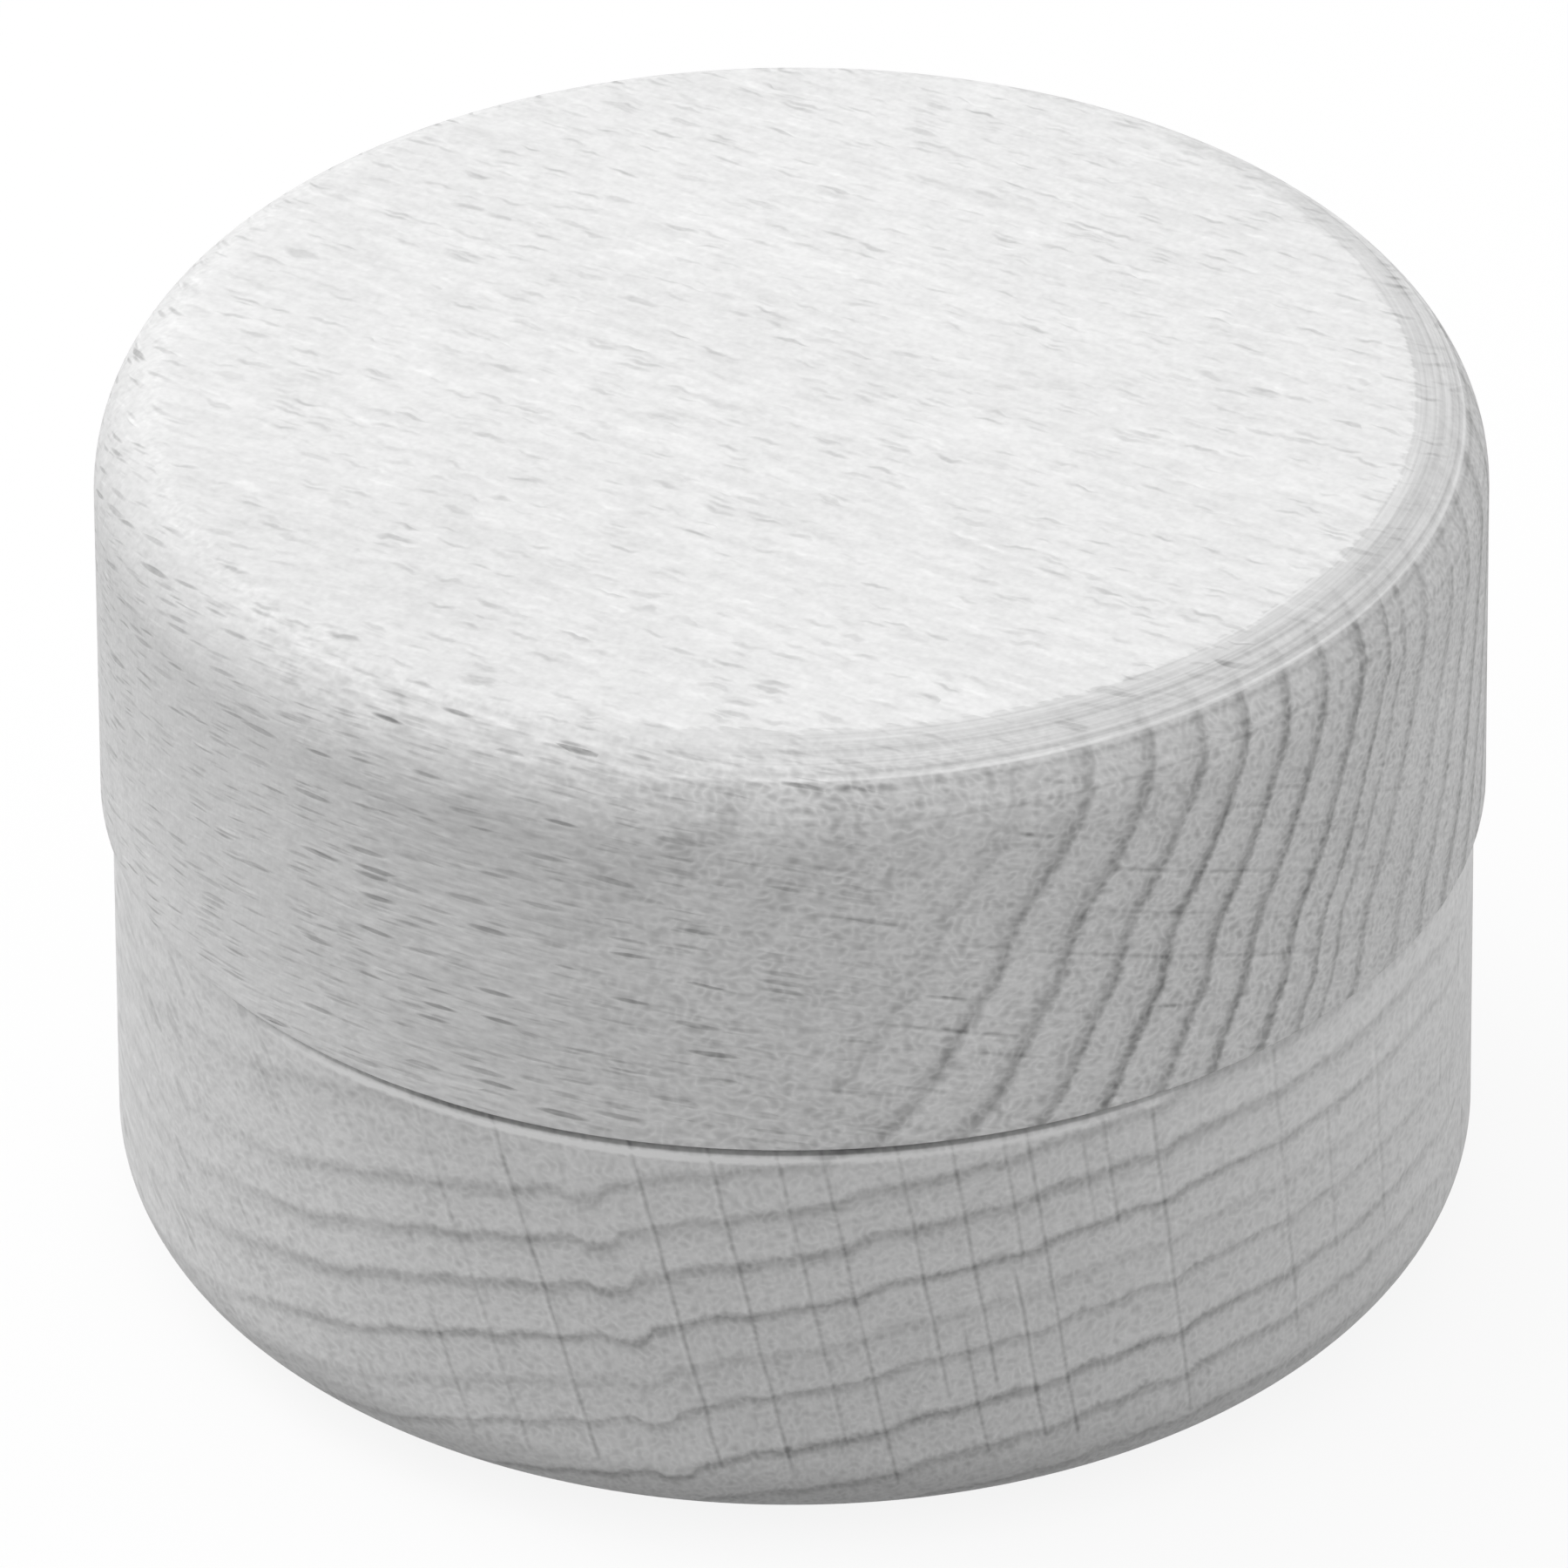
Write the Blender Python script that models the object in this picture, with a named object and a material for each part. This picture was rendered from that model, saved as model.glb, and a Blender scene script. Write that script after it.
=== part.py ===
"""A small round jewelry jar turned from beech: a base with a spigot, a lid that drops over it, and a felt pad.

Metres, +Z up. The origin is the centre of the foot, on the surface that the jar stands on. The photographed
front faces -Y.
"""

import math

import bmesh
import bpy

# Outside of the base
BASE_RADIUS = 0.0295
SHOULDER_HEIGHT = 0.0207
FOOT_ROUND_WIDTH = 0.0060
FOOT_ROUND_HEIGHT = 0.0047

# Outside of the lid
LID_OVERHANG = 0.0005
LID_HEIGHT = 0.0190
TOP_ROUND_WIDTH = 0.0033
TOP_ROUND_HEIGHT = 0.0042

# Walls that the lathe leaves
BASE_WALL = 0.0055
FLOOR_THICKNESS = 0.0050
LID_TOP_THICKNESS = 0.0050
WELL_FILLET = 0.0008
LID_FILLET = 0.0030

# The spigot on the base, and the rebate in the lid that takes it
SHOULDER_WIDTH = 0.0025
SPIGOT_HEIGHT = 0.0050
SPIGOT_TAPER = 0.0001
SPIGOT_LEAD_IN = 0.0006
REBATE_LEAD_IN = 0.0005
REBATE_HEADROOM = 0.0005

# Softened arrises
SEAM_ARRIS = 0.0003
MOUTH_ARRIS = 0.0005

# The pad on the floor of the well
PAD_THICKNESS = 0.0020
PAD_ARRIS = 0.0004

# Running and seating gaps
LID_SEAT_GAP = 0.0003
LID_FIT_CLEARANCE = 0.0003
PAD_CLEARANCE = 0.0003

# Facets round the jar, and facets on each round edge
TURN_STEPS = 72
LARGE_ROUND_STEPS = 9
SMALL_ROUND_STEPS = 3

# Sizes that follow from the ones above
LID_RADIUS = BASE_RADIUS + LID_OVERHANG
WELL_RADIUS = BASE_RADIUS - BASE_WALL
SPIGOT_RADIUS = BASE_RADIUS - SHOULDER_WIDTH
REBATE_RADIUS = SPIGOT_RADIUS + LID_FIT_CLEARANCE
REBATE_DEPTH = SPIGOT_HEIGHT - LID_SEAT_GAP + REBATE_HEADROOM
LID_SEAT_HEIGHT = SHOULDER_HEIGHT + LID_SEAT_GAP
PAD_LOWER_ARRIS = WELL_FILLET - PAD_CLEARANCE

# Finishes
BEECH_COLOUR = (0.60, 0.60, 0.60, 1.0)
BEECH_ROUGHNESS = 0.65
FELT_COLOUR = (0.11, 0.11, 0.12, 1.0)
FELT_ROUGHNESS = 0.95

# How meshes are closed and shaded
MERGE_DISTANCE = 0.000001
SHARP_ANGLE = math.radians(35.0)


def clear_scene():
    for thing in list(bpy.data.objects):
        bpy.data.objects.remove(thing)


def dull_material(name, colour, roughness):
    material = bpy.data.materials.new(name)
    material.use_nodes = True
    shader = material.node_tree.nodes["Principled BSDF"]
    shader.inputs["Base Color"].default_value = colour
    shader.inputs["Roughness"].default_value = roughness
    shader.inputs["Metallic"].default_value = 0.0
    return material


def round_edge(centre, width, height, start, end, steps):
    """Points (radius, height) along a quarter of an ellipse from angle start to end, in degrees from outwards."""
    points = []
    for step in range(steps + 1):
        angle = math.radians(start + (end - start) * step / steps)
        points.append((centre[0] + width * math.cos(angle), centre[1] + height * math.sin(angle)))
    return points


def turn(name, profile, material, seat_height):
    """Spins a profile of (radius, height) points, which starts and ends on the axis, into one closed solid.

    The object's origin lies on the turning axis at seat_height, and the profile's heights are above it.
    """
    shape = bmesh.new()
    points = [shape.verts.new((radius, 0.0, height)) for radius, height in profile]
    edges = [shape.edges.new(pair) for pair in zip(points, points[1:])]
    bmesh.ops.spin(
        shape,
        geom=points + edges,
        cent=(0.0, 0.0, 0.0),
        axis=(0.0, 0.0, 1.0),
        angle=2.0 * math.pi,
        steps=TURN_STEPS,
    )
    bmesh.ops.remove_doubles(shape, verts=shape.verts, dist=MERGE_DISTANCE)
    bmesh.ops.recalc_face_normals(shape, faces=shape.faces)
    mesh = bpy.data.meshes.new(name)
    shape.to_mesh(mesh)
    shape.free()
    mesh.materials.append(material)
    mesh.shade_smooth()
    mesh.set_sharp_from_angle(angle=SHARP_ANGLE)
    piece = bpy.data.objects.new(name, mesh)
    piece.location = (0.0, 0.0, seat_height)
    bpy.context.scene.collection.objects.link(piece)
    return piece


def base_profile():
    """Foot, rounded bottom edge, wall, shoulder, tapered spigot, mouth, and the well down to its floor."""
    foot_centre = (BASE_RADIUS - FOOT_ROUND_WIDTH, FOOT_ROUND_HEIGHT)
    shoulder_centre = (BASE_RADIUS - SEAM_ARRIS, SHOULDER_HEIGHT - SEAM_ARRIS)
    spigot_top = SHOULDER_HEIGHT + SPIGOT_HEIGHT
    tip_radius = SPIGOT_RADIUS - SPIGOT_TAPER
    mouth_centre = (WELL_RADIUS + MOUTH_ARRIS, spigot_top - MOUTH_ARRIS)
    corner_centre = (WELL_RADIUS - WELL_FILLET, FLOOR_THICKNESS + WELL_FILLET)
    profile = [(0.0, 0.0)]
    profile += round_edge(foot_centre, FOOT_ROUND_WIDTH, FOOT_ROUND_HEIGHT, -90, 0, LARGE_ROUND_STEPS)
    profile += round_edge(shoulder_centre, SEAM_ARRIS, SEAM_ARRIS, 0, 90, SMALL_ROUND_STEPS)
    profile.append((SPIGOT_RADIUS, SHOULDER_HEIGHT))
    profile.append((tip_radius, spigot_top - SPIGOT_LEAD_IN))
    profile.append((tip_radius - SPIGOT_LEAD_IN, spigot_top))
    profile += round_edge(mouth_centre, MOUTH_ARRIS, MOUTH_ARRIS, 90, 180, SMALL_ROUND_STEPS)
    profile += round_edge(corner_centre, WELL_FILLET, WELL_FILLET, 0, -90, SMALL_ROUND_STEPS)
    profile.append((0.0, FLOOR_THICKNESS))
    return profile


def lid_profile():
    """Ceiling, hollow, ledge and rebate, then the rim, wall, rounded edge and flat top. Height 0 is the rim."""
    ceiling = LID_HEIGHT - LID_TOP_THICKNESS
    corner_centre = (WELL_RADIUS - LID_FILLET, ceiling - LID_FILLET)
    ledge_centre = (WELL_RADIUS + MOUTH_ARRIS, REBATE_DEPTH + MOUTH_ARRIS)
    rim_centre = (LID_RADIUS - SEAM_ARRIS, SEAM_ARRIS)
    top_centre = (LID_RADIUS - TOP_ROUND_WIDTH, LID_HEIGHT - TOP_ROUND_HEIGHT)
    profile = [(0.0, ceiling)]
    profile += round_edge(corner_centre, LID_FILLET, LID_FILLET, 90, 0, LARGE_ROUND_STEPS)
    profile += round_edge(ledge_centre, MOUTH_ARRIS, MOUTH_ARRIS, 180, 270, SMALL_ROUND_STEPS)
    profile.append((REBATE_RADIUS, REBATE_DEPTH))
    profile.append((REBATE_RADIUS, REBATE_LEAD_IN))
    profile.append((REBATE_RADIUS + REBATE_LEAD_IN, 0.0))
    profile += round_edge(rim_centre, SEAM_ARRIS, SEAM_ARRIS, -90, 0, SMALL_ROUND_STEPS)
    profile += round_edge(top_centre, TOP_ROUND_WIDTH, TOP_ROUND_HEIGHT, 0, 90, LARGE_ROUND_STEPS)
    profile.append((0.0, LID_HEIGHT))
    return profile


def pad_profile():
    """A disc whose lower edge follows the fillet round the floor of the well."""
    radius = WELL_RADIUS - PAD_CLEARANCE
    lower_centre = (radius - PAD_LOWER_ARRIS, PAD_LOWER_ARRIS)
    upper_centre = (radius - PAD_ARRIS, PAD_THICKNESS - PAD_ARRIS)
    profile = [(0.0, 0.0)]
    profile += round_edge(lower_centre, PAD_LOWER_ARRIS, PAD_LOWER_ARRIS, -90, 0, SMALL_ROUND_STEPS)
    profile += round_edge(upper_centre, PAD_ARRIS, PAD_ARRIS, 0, 90, SMALL_ROUND_STEPS)
    profile.append((0.0, PAD_THICKNESS))
    return profile


def main():
    clear_scene()
    beech = dull_material("beech", BEECH_COLOUR, BEECH_ROUGHNESS)
    felt = dull_material("felt", FELT_COLOUR, FELT_ROUGHNESS)
    base = turn("jar_base", base_profile(), beech, 0.0)
    turn("jar_lid", lid_profile(), beech, LID_SEAT_HEIGHT)
    pad = turn("felt_pad", pad_profile(), felt, FLOOR_THICKNESS + PAD_CLEARANCE)
    pad.parent = base


main()
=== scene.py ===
"""A small round jewelry jar, turned from two blocks of beech, with a felt disc in its well.

Metres, +Z up. The jar's axis is the Z axis, its foot stands at height 0, and the photographed front faces -Y.
Each piece and the studio is made by an operator of its own, from sizes and colours in the property groups.
"""

import math

import bpy
from mathutils import Euler, Matrix, Vector


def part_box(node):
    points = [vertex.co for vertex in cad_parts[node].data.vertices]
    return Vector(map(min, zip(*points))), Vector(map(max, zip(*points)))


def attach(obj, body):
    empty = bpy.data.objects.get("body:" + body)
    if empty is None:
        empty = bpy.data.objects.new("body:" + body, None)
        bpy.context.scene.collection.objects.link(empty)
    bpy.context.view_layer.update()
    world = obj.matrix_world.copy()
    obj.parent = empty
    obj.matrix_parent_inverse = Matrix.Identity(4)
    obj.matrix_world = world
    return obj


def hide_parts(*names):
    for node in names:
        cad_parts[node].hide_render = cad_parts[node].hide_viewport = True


bl_info = {
    "name": "Turned Jewelry Jar",
    "version": (1, 0, 0),
    "blender": (4, 5, 0),
    "location": "3D View > Sidebar > Jar",
    "description": "Turns a small round beech jewelry jar with its felt disc, and sets up a studio round it",
    "category": "Add Mesh",
}

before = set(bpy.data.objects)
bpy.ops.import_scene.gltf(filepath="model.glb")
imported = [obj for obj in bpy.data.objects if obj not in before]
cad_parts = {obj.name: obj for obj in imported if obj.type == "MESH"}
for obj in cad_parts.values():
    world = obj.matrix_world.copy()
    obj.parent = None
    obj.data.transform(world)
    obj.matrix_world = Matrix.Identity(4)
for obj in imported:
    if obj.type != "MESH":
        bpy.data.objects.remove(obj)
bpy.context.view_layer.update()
BASE_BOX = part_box("jar_base")
LID_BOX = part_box("jar_lid")
FELT_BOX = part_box("felt_pad")

MILLIMETRES = 1000.0
WALL_RADIUS = 29.7
TURN_STEPS = 256
FELT_TURN_STEPS = 160
LARGE_ROUND_STEPS = 28
SMALL_ROUND_STEPS = 6
FLAT_HOLD = 0.0004
MERGE_DISTANCE = 0.000001
SHARP_ANGLE = math.radians(35.0)


# How each block was cut from its tree, in millimetres. The fibre runs level, towards an azimuth from +X.
# Speckle and flecks are how much of each shows, and ray_breaks is what is left of a ray where it breaks.
# The growth rings lie round a line along the fibre, whose place is given across the fibre and in height.
# A ring is a distance from that line, how dark its latewood is, and how narrow its dark band is.
# A drift is a place along the rings and how far they stray outwards there.
# A ray crosses the rings from one distance to another, and has a place along them and a darkness. The rays
# fan out from the mean radius by the given share of their place in each millimetre.
# Quiet is where the rings fade: a direction (along, across), from and to how far that way, and how much.
# A zone that is made paler or darker has an azimuth, a height, a reach level and upright, and an added
# darkness.
LID_BLOCK = {
    "fibre_azimuth": -30.0,
    "speckle": 0.85,
    "flecks": 1.0,
    "ray_breaks": 0.45,
    "quiet": ((-1.0, -1.0), 12.0, 27.0, 0.85),
    "zones": (
        (-112.0, 35.5, 16.0, 6.0, 0.10),
        (-104.0, 25.5, 10.0, 4.5, 0.05),
        (-145.0, 22.0, 12.0, 4.0, -0.06),
        (-138.0, 38.6, 26.0, 4.5, 0.10),
        (-20.0, 30.0, 8.0, 12.0, -0.06),
        (-160.0, 23.0, 8.0, 5.0, -0.10),
        (-104.0, 31.0, 6.0, 3.5, 0.06),
        (-76.0, 27.0, 7.0, 14.0, -0.08),
        (-24.0, 31.0, 6.0, 5.0, -0.07),
        (-35.0, 38.2, 12.0, 3.0, 0.08),
    ),
    "ring_line": (171.4, -44.5),
    "mean_angle": 157.5,
    "mean_radius": 192.0,
    "bark_inwards": True,
    "rings": (
        (154.0, 0.6, 1.0), (156.5, 0.6, 1.0), (159.2, 0.7, 0.8), (161.6, 0.4, 1.0),
        (164.3, 0.8, 1.0), (166.6, 0.6, 1.2), (169.2, 0.5, 1.0), (171.6, 0.7, 0.8),
        (174.1, 0.6, 1.0), (176.6, 0.6, 0.7), (179.25, 0.64, 0.6), (182.0, 0.48, 0.8),
        (184.35, 0.36, 1.0), (187.3, 0.54, 1.0), (189.25, 0.42, 1.2), (190.5, 0.72, 1.2),
        (192.4, 0.84, 1.0), (194.85, 0.78, 1.0), (196.95, 0.83, 1.0), (199.15, 0.92, 1.0),
        (201.2, 0.67, 1.0), (203.4, 0.72, 1.0), (205.7, 0.63, 1.0), (208.0, 0.24, 1.0),
        (210.1, 0.10, 1.0), (212.25, 0.20, 1.0), (214.8, 0.80, 0.6), (217.3, 0.50, 0.8),
        (219.5, 0.50, 1.0),
    ),
    "drift": (
        (-15.0, 0.74), (-13.0, 0.75), (-12.5, 0.52), (-11.5, 0.42), (-10.5, 0.31),
        (-9.5, 0.2), (-8.5, 0.05), (-8.0, 0.13), (-7.0, 0.07), (-6.0, -0.03),
        (-5.0, -0.11), (-2.5, -0.18), (-0.5, -0.15), (0.5, -0.05), (1.5, 0.07),
        (2.5, 0.19), (3.5, 0.12), (4.5, -0.04), (5.5, -0.19), (6.5, -0.07),
        (8.0, -0.04), (10.0, 0.02), (11.0, 0.13), (12.0, 0.3),
    ),
    "ray_fan": 0.0025,
    "rays": (
        (-16.10, 195.0, 222.0, 0.15),
        (-4.09, 188.0, 190.5, 0.36),
        (-3.51, 194.8, 197.0, 0.48),
        (-2.70, 196.3, 200.4, 0.31),
        (-1.75, 190.0, 199.2, 0.17),
        (-1.04, 205.8, 208.1, 0.89),
        (0.25, 194.6, 203.6, 0.39),
        (0.65, 187.0, 189.0, 0.68),
        (1.57, 211.0, 213.5, 1.00),
        (2.15, 197.0, 203.8, 0.29),
        (2.46, 190.5, 193.0, 0.28),
        (3.64, 208.6, 213.0, 0.40),
        (4.16, 190.0, 208.0, 0.33),
        (6.40, 197.0, 199.4, 0.71),
        (6.62, 205.7, 208.0, 1.00),
        (8.10, 203.4, 208.6, 0.68),
        (8.97, 202.0, 205.8, 0.37),
        (9.30, 208.4, 211.0, 0.30),
        (10.10, 198.6, 200.6, 0.30),
        (10.90, 204.0, 207.0, 0.40),
        (11.45, 206.5, 211.0, 0.46),
        (12.60, 190.0, 215.0, 0.15),
    ),
}
BASE_BLOCK = {
    "fibre_azimuth": -80.0,
    "speckle": 0.58,
    "flecks": 0.5,
    "ray_breaks": 0.80,
    "quiet": ((0.0, 1.0), 11.0, 24.0, 0.38),
    "zones": (
        (-25.0, 20.0, 30.0, 18.0, -0.23),
        (-92.0, 7.0, 17.0, 10.0, 0.08),
        (-132.0, 14.0, 14.0, 9.0, -0.07),
        (-75.0, 4.5, 16.0, 5.0, 0.10),
        (-24.0, 7.0, 8.0, 6.0, -0.08),
    ),
    "ring_line": (22.9, -118.0),
    "mean_angle": 100.0,
    "mean_radius": 132.0,
    "bark_inwards": False,
    "rings": (
        (114.4, 0.56, 1.25), (116.8, 0.56, 1.25), (119.2, 0.66, 1.0), (121.8, 0.47, 1.25),
        (124.3, 0.57, 1.25), (126.6, 0.76, 1.5), (129.45, 0.53, 2.0), (131.45, 0.23, 0.62),
        (133.65, 0.73, 1.5), (136.25, 0.61, 0.75), (138.55, 0.55, 0.75), (140.9, 0.47, 1.12),
        (144.8, 0.33, 1.25), (147.1, 0.47, 1.25), (149.6, 0.56, 1.0), (152.0, 0.47, 1.25),
        (154.4, 0.47, 1.25),
    ),
    "drift": (
        (-27.0, -0.17), (-26.0, -0.32), (-25.3, 0.05), (-23.0, 0.07), (-21.5, -0.04),
        (-20.0, -0.07), (-18.5, 0.0), (-17.3, -0.1), (-16.0, 0.01), (-14.0, 0.13),
        (-13.0, 0.14), (-12.0, -0.04), (-11.5, -0.17), (-10.7, 0.0), (-9.7, 0.13),
        (-8.5, 0.06), (-7.2, 0.17), (-6.0, -0.03), (-5.0, -0.11), (-3.6, 0.06),
        (-2.8, 0.0), (-0.7, 0.05), (0.7, 0.19), (1.5, 0.08), (2.4, -0.12),
        (4.2, -0.14), (5.5, -0.03), (6.7, -0.09), (8.0, 0.13), (9.0, -0.01),
        (10.2, -0.1), (10.9, -0.2), (11.4, -0.62), (12.0, -0.65), (12.6, -0.35),
        (13.3, -0.13), (14.5, -0.22), (16.0, 0.0), (17.2, -0.08), (18.2, 0.08),
        (19.5, -0.07), (21.5, -0.14), (22.8, -0.4), (24.5, -0.33), (26.0, -0.5),
    ),
    "ray_fan": 0.0027,
    "rays": (
        (-22.10, 124.5, 135.5, 0.27),
        (-19.41, 125.5, 134.0, 0.24),
        (-17.11, 122.5, 139.0, 0.27),
        (-11.45, 122.0, 139.0, 0.40),
        (-9.31, 132.5, 139.5, 0.30),
        (-8.32, 133.5, 139.0, 0.27),
        (-6.02, 123.0, 140.0, 0.44),
        (-4.99, 133.0, 140.0, 0.33),
        (-4.53, 123.5, 133.0, 0.48),
        (-2.85, 127.0, 140.5, 0.39),
        (-1.85, 123.5, 131.0, 0.38),
        (-0.65, 127.0, 141.0, 0.36),
        (2.37, 123.0, 141.5, 0.38),
        (4.15, 126.0, 142.0, 0.33),
        (6.77, 125.0, 143.0, 0.42),
        (9.72, 126.0, 144.0, 0.48),
        (14.75, 127.0, 145.0, 0.45),
        (17.50, 127.5, 146.0, 0.23),
        (19.60, 128.0, 135.5, 0.29),
        (20.30, 141.0, 147.0, 0.11),
        (22.58, 138.0, 147.0, 0.11),
        (23.40, 129.0, 133.0, 0.20),
    ),
}


# From one ring to the next: at each share of the way, how much is latewood and how much pale earlywood.
RING_SECTION = (
    (0.0, (1.0, 0.0, 0.0)),
    (0.05, (0.60, 0.1, 0.0)),
    (0.11, (0.08, 0.7, 0.0)),
    (0.16, (0.0, 1.0, 0.0)),
    (0.45, (0.0, 0.3, 0.0)),
    (0.66, (0.0, 0.0, 0.0)),
    (0.80, (0.22, 0.0, 0.0)),
    (0.91, (0.80, 0.0, 0.0)),
    (1.0, (1.0, 0.0, 0.0)),
)

# Rays are placed up to this far along the rings, in millimetres, either way from the mean angle.
RAY_SPAN = 30.0

# Sizes of the marks in the wood, in millimetres: along the rings, across them, and along the fibre.
FLECK_SIZE = (0.33, 4.0, 3.0)
FINE_FLECK_SIZE = (0.18, 2.5, 2.2)
STREAK_SIZE = (0.32, 3.0, 3.6)
PORE_SIZE = (0.24, 0.60, 1.5)
CURL_SIZE = (0.38, 0.38, 0.60)
CLOUD_SIZE = (5.0, 5.0, 24.0)
GRIT_SIZE = 0.34
TOOL_LINE_SIZE = 0.20
LATHE_LINE_SIZE = 0.24

# A ray's dark line and the painted highlight beside it, where the ray's edge would catch light: place past
# the ray's middle and half width, in millimetres.
RAY_LINE = (0.0, 0.14)
RAY_EDGE_HIGHLIGHT = (0.19, 0.12)

# How pale sanded wood may be, as a darkness past the pale wood's own.
PALEST = -0.28

# Where marks of turning start and where they are whole, and where the painted shade and painted highlight at
# the seam lie, in millimetres. The flat top, the inner surfaces and the shoulder have distances from the
# axis, the cut's shade has heights less such distances, and the others have heights. The painted highlight
# under the seam has a height and a half width.
FLAT_TOP_EDGE = (26.62, 26.85)
CUT_HEIGHT = (38.78, 38.86)
TOP_ROUND = (36.0, 38.5)
CUT_SHADE = (10.6, 12.2)
INNER_SURFACES = (27.5, 27.8)
BELOW_TOP = (38.4, 38.7)
SHOULDER_EDGE = (28.9, 29.1)
SEAM_SHADE = (20.34, 20.44)
SEAM_PAINTED_HIGHLIGHT = (20.13, 0.27)
UNDER_SEAM = (17.6, 20.2)

# The direction that the seam's front faces, as its parts along the base's fibre and across it. The painted
# shade in the seam's gap and the painted highlight under it are kept to this side.
SEAM_FRONT = (0.956, 0.292)

# Marks that the last cut left round the lid's rounded edge: height less radius, half width, and darkness.
TOOL_MARKS = (
    (9.20, 0.75, 0.14),
    (13.10, 0.10, 0.07),
    (11.70, 0.16, 0.20),
    (10.95, 0.20, 0.10),
    (10.40, 0.24, 0.26),
    (9.98, 0.15, -0.26),
    (9.42, 0.22, 0.18),
    (9.02, 0.18, -0.10),
    (8.16, 0.22, 0.13),
    (7.77, 0.16, -0.08),
    (7.38, 0.16, 0.16),
)


# Property types that the groups below share.
def length(name, description, default):
    return bpy.props.FloatProperty(
        name=name, description=description, default=default, min=0.0, precision=5, unit="LENGTH"
    )


def share(name, description, default, most=1.0):
    return bpy.props.FloatProperty(
        name=name, description=description, default=default, min=0.0, max=most, subtype="FACTOR"
    )


def colour(name, description, default):
    return bpy.props.FloatVectorProperty(
        name=name, description=description, default=default, size=3, min=0.0, max=1.0, subtype="COLOR"
    )


def angle(name, description, degrees):
    return bpy.props.FloatProperty(
        name=name, description=description, default=math.radians(degrees), subtype="ANGLE"
    )


class JarSizes(bpy.types.PropertyGroup):
    """Sizes of the turned base, the turned lid and the felt disc."""

    base_radius: length("Base Radius", "Radius of the base's wall", BASE_BOX[1].x)
    shoulder_height: length("Shoulder Height", "Height of the shoulder that the lid's rim faces", 0.0207)
    foot_round_width: length("Foot Round Width", "How far the bottom edge's round reaches inwards", 0.0060)
    foot_round_height: length("Foot Round Height", "How far the bottom edge's round reaches up", 0.0047)
    base_wall: length("Wall", "Thickness of the base's wall", 0.0055)
    floor_thickness: length("Floor", "Thickness of the wood under the well", 0.0050)
    well_fillet: length("Well Fillet", "Radius of the fillet round the well's floor", 0.0008)
    spigot_radius: length("Spigot Radius", "Radius of the spigot at the shoulder", 0.0270)
    spigot_taper: length("Spigot Taper", "How much narrower the spigot is at its top", 0.0001)
    spigot_lead_in: length("Spigot Lead-in", "Chamfer on the spigot's outer edge", 0.0006)
    mouth_arris: length("Mouth Arris", "Radius on the edges of the two hollows", 0.0005)
    shoulder_width: length("Shoulder Round Width", "How far the shoulder's round reaches inwards", 0.0006)
    shoulder_round: length("Shoulder Round Height", "How far the shoulder's round reaches down", 0.0005)
    rim_arris: length("Rim Arris", "Radius on the outer edge of the lid's rim", 0.00005)
    lid_radius: length("Lid Radius", "Radius of the lid's wall", LID_BOX[1].x)
    lid_seat: length("Lid Seat", "Height of the lid's rim when the jar is closed", LID_BOX[0].z)
    top_height: length("Top Height", "Height of the closed jar", LID_BOX[1].z)
    top_round_width: length("Top Round Width", "How far the top edge's round reaches inwards", 0.0033)
    top_round_height: length("Top Round Height", "How far the top edge's round reaches down", 0.0042)
    top_thickness: length("Top Thickness", "Thickness of the wood over the lid's hollow", 0.0050)
    lid_fillet: length("Lid Fillet", "Radius of the fillet round the lid's ceiling", 0.0030)
    rebate_radius: length("Rebate Radius", "Radius of the rebate that takes the spigot", 0.0273)
    rebate_depth: length("Rebate Depth", "Depth of the rebate above the lid's rim", 0.0052)
    rebate_lead_in: length("Rebate Lead-in", "Chamfer inside the lid's rim", 0.0005)
    felt_radius: length("Felt Radius", "Radius of the felt disc", FELT_BOX[1].x)
    felt_bottom: length("Felt Bottom", "Height of the underside of the felt", FELT_BOX[0].z)
    felt_top: length("Felt Top", "Height of the upper side of the felt", FELT_BOX[1].z)
    felt_arris: length("Felt Arris", "Radius on the cut edge of the felt", 0.0004)


class JarColours(bpy.types.PropertyGroup):
    """Colours and textures of the beech and the felt."""

    pale_wood: colour("Pale Wood", "Earlywood between the rings", (0.80, 0.80, 0.80))
    dark_wood: colour("Dark Wood", "Latewood and rays at their darkest", (0.22, 0.22, 0.22))
    wood_roughness: share("Wood Roughness", "Roughness of the bare, sanded wood", 0.62)
    wood_relief: length("Wood Relief", "Height of the raised grain and pores", 0.000020)
    ring_depth: share("Ring Depth", "How dark the rings are on end grain", 0.66)
    ray_depth: share("Ray Depth", "How dark the rays are on end grain", 0.80)
    fleck_depth: share("Fleck Depth", "How dark the ray flecks are on side grain", 0.68)
    grit_depth: share("Grit Depth", "How strong the fine speckle of the wood is", 0.36, most=2.0)
    felt_colour: colour("Felt", "Wool of the felt disc", (0.105, 0.105, 0.115))
    felt_fleck: colour("Felt Fleck", "Pale fibres in the felt", (0.24, 0.24, 0.25))
    felt_relief: length("Felt Relief", "Height of the felt's nap", 0.00016)


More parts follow.
